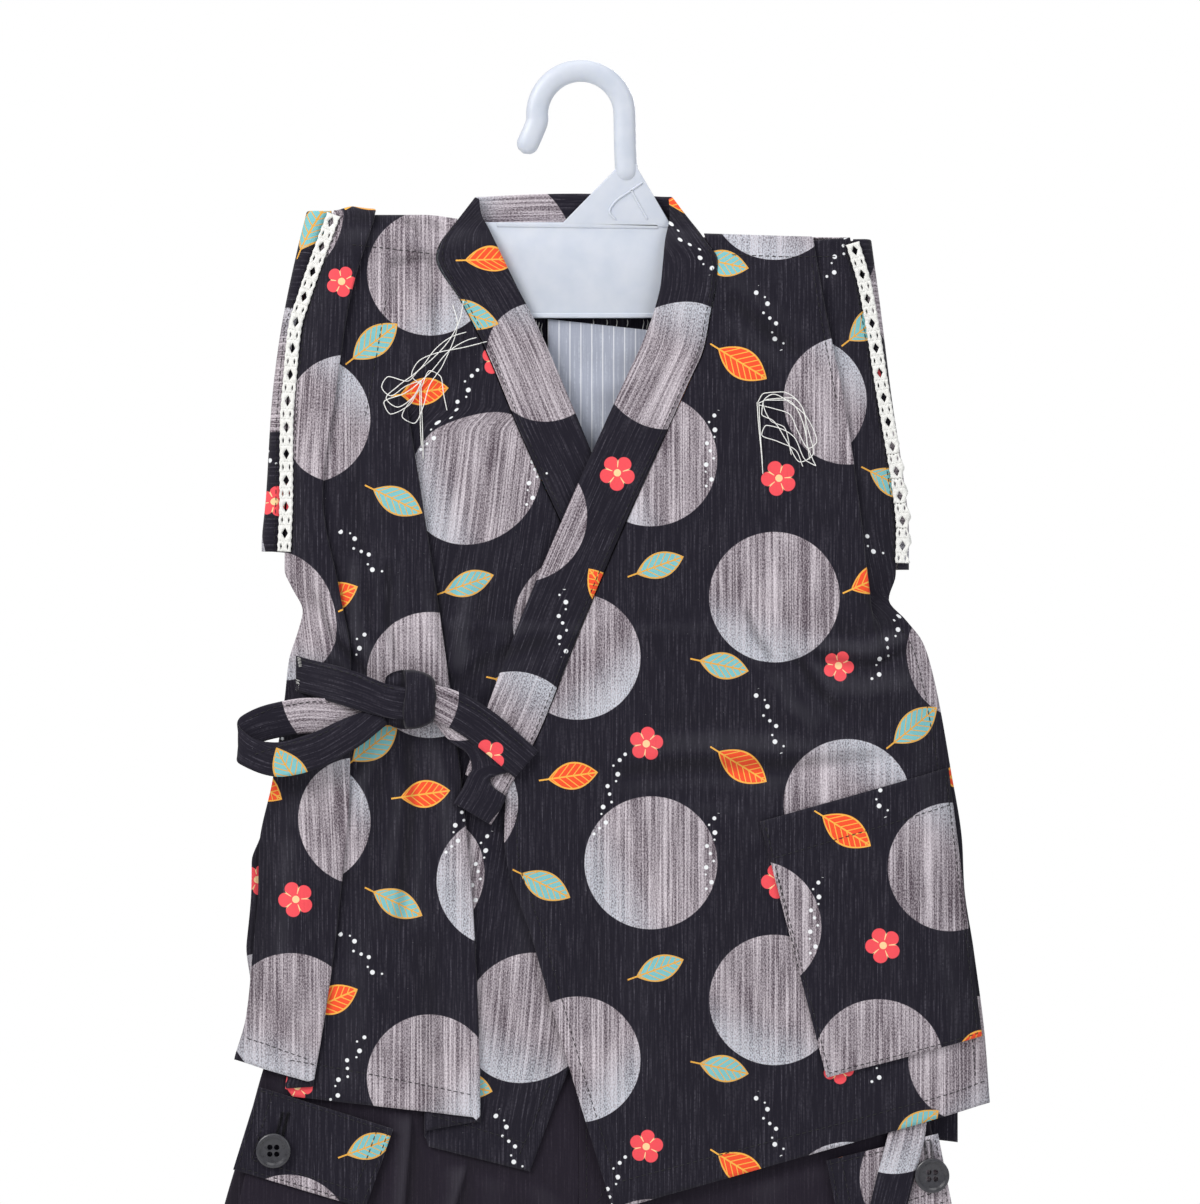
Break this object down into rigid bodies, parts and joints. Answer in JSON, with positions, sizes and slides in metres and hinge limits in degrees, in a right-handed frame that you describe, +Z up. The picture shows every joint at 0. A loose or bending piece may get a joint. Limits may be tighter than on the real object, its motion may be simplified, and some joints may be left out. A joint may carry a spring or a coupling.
{
  "type": "jinbei set on a hanger",
  "caption": "Child's jinbei: printed wrap top with lace at the armholes and a side bow, plain shorts with flapped pockets below, on a plastic header hanger.",
  "frame": {"origin": "top of the hook's inside, where a rod along Y carries the hanger", "axes": "+Z up, -Y towards the garment's front, +X towards the wearer's left"},
  "size_m": [0.36, 0.023, 0.6245],
  "materials": {
    "printed_cloth": "matte",
    "plain_cloth": "matte",
    "facing_cloth": "matte",
    "lace": "matte",
    "button_plastic": "satin",
    "hanger_plastic": "satin"
  },
  "bodies": {
    "root": {"hanger": "hanger_plastic", "back_body": "printed_cloth", "front_right": "printed_cloth", "front_left": "printed_cloth", "neckband_back": "printed_cloth", "neckband_right": "printed_cloth", "neckband_left": "printed_cloth", "neck_facing": "facing_cloth", "sleeve_right": "printed_cloth", "sleeve_left": "printed_cloth", "lace_right": "lace", "lace_left": "lace", "patch_pocket": "printed_cloth", "tie_strap": "printed_cloth", "tie_knot": "printed_cloth", "tie_loop": "printed_cloth", "tie_front_tail": "printed_cloth", "tie_rear_tail": "printed_cloth", "inner_tie": "printed_cloth", "shorts_leg_right": "plain_cloth", "shorts_leg_left": "plain_cloth", "shorts_waistband": "plain_cloth", "cargo_pocket_right": "plain_cloth", "cargo_pocket_left": "plain_cloth", "pocket_flap_right": "printed_cloth", "pocket_flap_left": "printed_cloth", "flap_button_right": "button_plastic", "flap_button_left": "button_plastic"}
  },
  "joints": []
}
